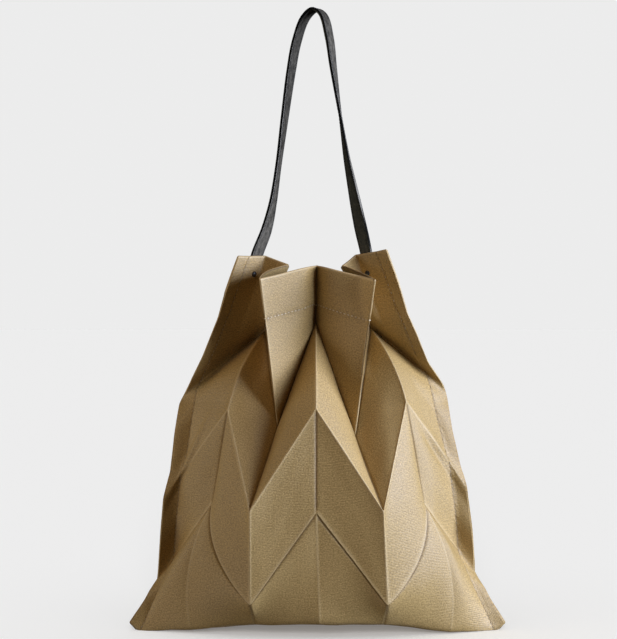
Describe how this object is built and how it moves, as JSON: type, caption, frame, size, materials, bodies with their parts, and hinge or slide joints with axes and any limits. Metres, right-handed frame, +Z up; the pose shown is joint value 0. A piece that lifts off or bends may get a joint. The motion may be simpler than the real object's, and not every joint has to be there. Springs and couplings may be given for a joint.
{
  "type": "pleated tote bag",
  "caption": "Soft tote bag of stiff cloth pressed into zigzag herringbone pleats, open at the top, with sewn side edges and a flat leather shoulder strap riveted inside the mouth.",
  "frame": {"origin": "on the ground under the middle of the bag", "axes": "+Z up, X across the bag from seam to seam, the front towards -Y"},
  "size_m": [0.412, 0.188, 0.6836],
  "materials": {
    "cloth": "fine ribbed weave with a slight sheen",
    "leather": "smooth black leather with painted edges",
    "rivet": "black lacquered metal"
  },
  "bodies": {
    "root": {"front_panel": "cloth", "back_panel": "cloth", "strap": "leather", "rivet_left": "rivet", "rivet_right": "rivet"}
  },
  "joints": []
}
